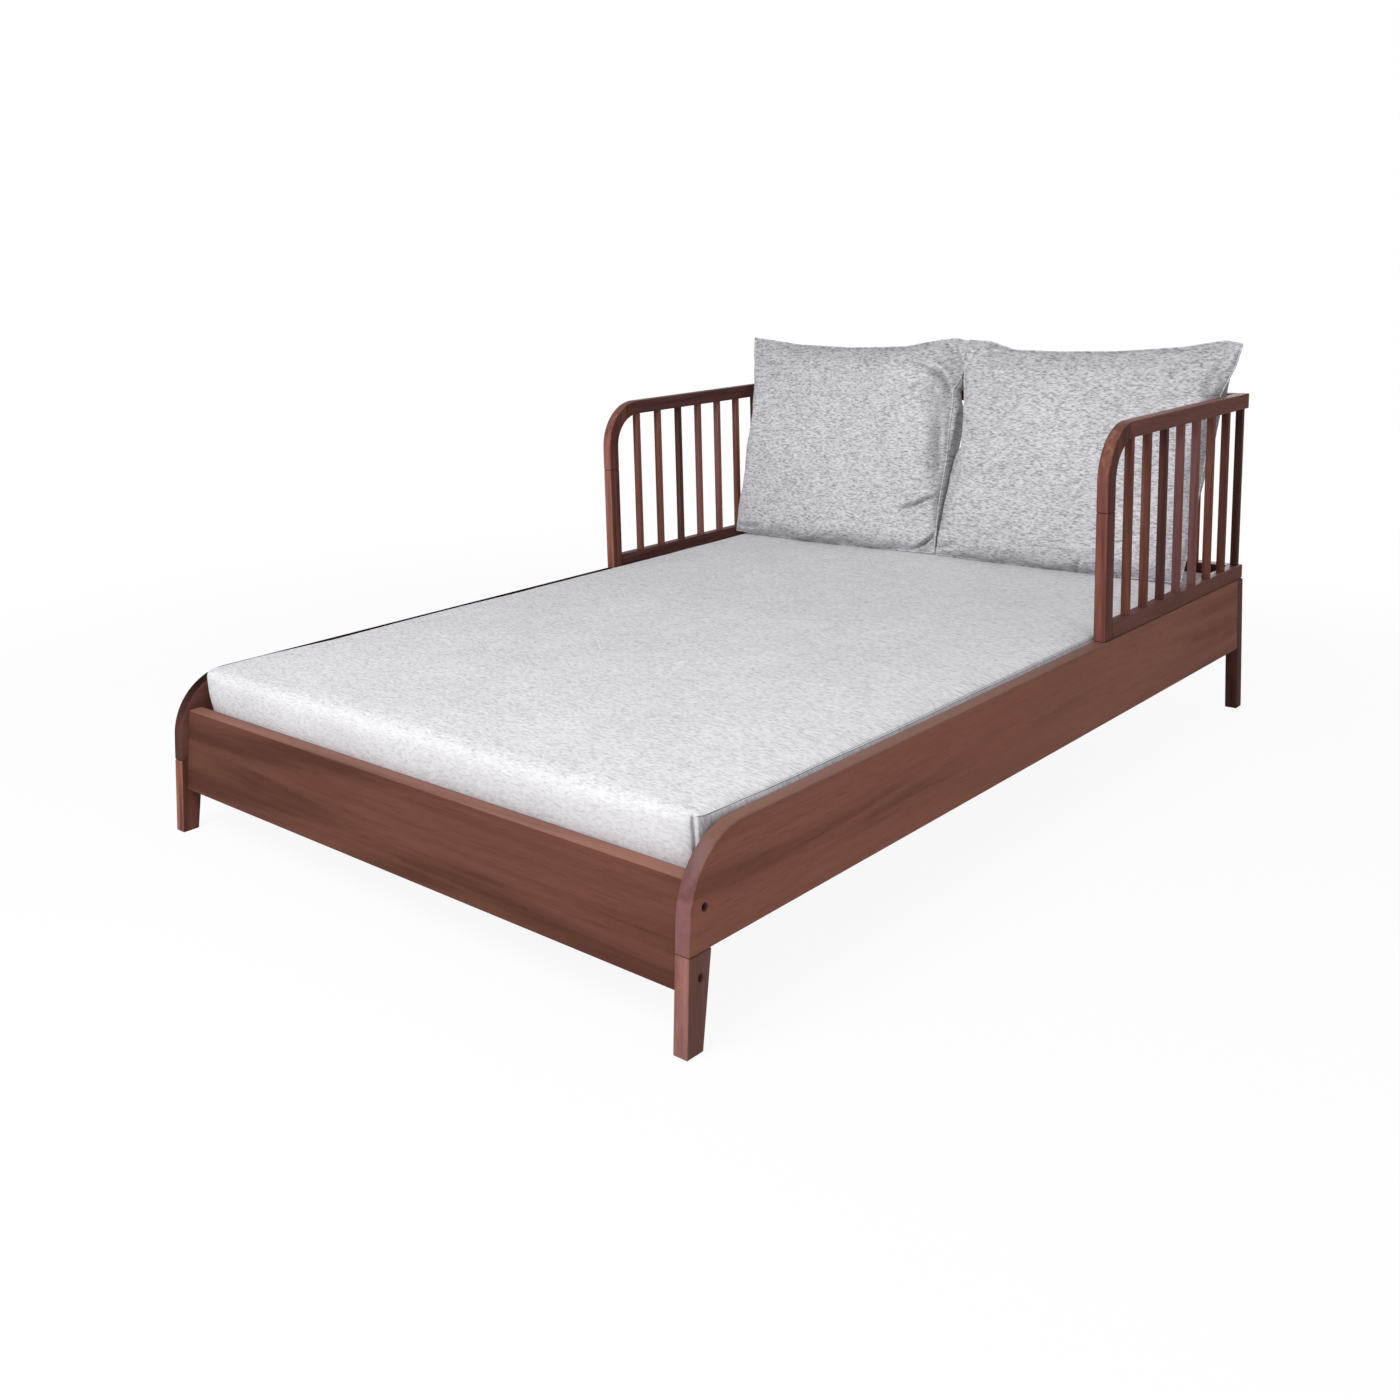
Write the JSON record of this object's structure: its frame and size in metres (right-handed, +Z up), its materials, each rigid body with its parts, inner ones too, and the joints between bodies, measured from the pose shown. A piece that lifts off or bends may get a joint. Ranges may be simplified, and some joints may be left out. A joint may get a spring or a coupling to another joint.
{
  "type": "daybed",
  "caption": "Low hardwood daybed with raked legs, round-cornered side boards, a spindle gallery round the head end, a slatted deck, a loose mattress and leaning back cushions.",
  "frame": {"origin": "floor level, at the middle of the length and width", "axes": "+Z up, +Y towards the head end with the cushions, +X to the right side board seen from the foot end"},
  "size_m": [1.3, 1.9998, 0.8474],
  "materials": {
    "stained_hardwood": "satin reddish-brown stain",
    "deck_timber": "plain planed timber",
    "blackened_steel": "dark",
    "mattress_weave": "heathered light grey weave",
    "cushion_weave": "heathered mid grey weave"
  },
  "bodies": {
    "frame": {"side_board_left": "stained_hardwood", "side_board_right": "stained_hardwood", "front_leg_left": "stained_hardwood", "front_leg_right": "stained_hardwood", "rear_post_left": "stained_hardwood", "rear_post_right": "stained_hardwood", "foot_rail": "stained_hardwood", "head_rail": "stained_hardwood", "corner_bolt_upper_left": "blackened_steel", "corner_bolt_lower_left": "blackened_steel", "corner_bolt_upper_right": "blackened_steel", "corner_bolt_lower_right": "blackened_steel", "slat_ledger_left": "deck_timber", "slat_ledger_right": "deck_timber", "centre_bearer": "deck_timber", "deck_slat_1": "deck_timber", "deck_slat_2": "deck_timber", "deck_slat_3": "deck_timber", "deck_slat_4": "deck_timber", "deck_slat_5": "deck_timber", "deck_slat_6": "deck_timber", "arm_post_left": "stained_hardwood", "arm_post_right": "stained_hardwood", "arm_corner_left": "stained_hardwood", "arm_corner_right": "stained_hardwood", "arm_top_rail_left": "stained_hardwood", "arm_top_rail_right": "stained_hardwood", "arm_base_rail_left": "stained_hardwood", "arm_base_rail_right": "stained_hardwood", "arm_spindle_left_1": "stained_hardwood", "arm_spindle_left_2": "stained_hardwood", "arm_spindle_left_3": "stained_hardwood", "arm_spindle_left_4": "stained_hardwood", "arm_spindle_left_5": "stained_hardwood", "arm_spindle_left_6": "stained_hardwood", "arm_spindle_left_7": "stained_hardwood", "arm_spindle_right_1": "stained_hardwood", "arm_spindle_right_2": "stained_hardwood", "arm_spindle_right_3": "stained_hardwood", "arm_spindle_right_4": "stained_hardwood", "arm_spindle_right_5": "stained_hardwood", "arm_spindle_right_6": "stained_hardwood", "arm_spindle_right_7": "stained_hardwood", "corner_spindle_left": "stained_hardwood", "corner_spindle_right": "stained_hardwood", "back_top_rail": "stained_hardwood", "back_base_rail": "stained_hardwood", "back_spindle_1": "stained_hardwood", "back_spindle_2": "stained_hardwood", "back_spindle_3": "stained_hardwood", "back_spindle_4": "stained_hardwood", "back_spindle_5": "stained_hardwood", "back_spindle_6": "stained_hardwood", "back_spindle_7": "stained_hardwood", "back_spindle_8": "stained_hardwood", "back_spindle_9": "stained_hardwood", "back_spindle_10": "stained_hardwood"},
    "mattress": {"mattress": "mattress_weave"},
    "cushion_left": {"back_cushion_left": "cushion_weave"},
    "cushion_right": {"back_cushion_right": "cushion_weave"}
  },
  "joints": [
    {"name": "mattress_lift", "type": "slide", "parent": "frame", "child": "mattress", "axis": [0, 0, 1], "range_m": [0, 0.6]},
    {"name": "cushion_left_lift", "type": "slide", "parent": "mattress", "child": "cushion_left", "axis": [0, 0, 1], "range_m": [0, 0.45]},
    {"name": "cushion_right_lift", "type": "slide", "parent": "mattress", "child": "cushion_right", "axis": [0, 0, 1], "range_m": [0, 0.45]}
  ]
}
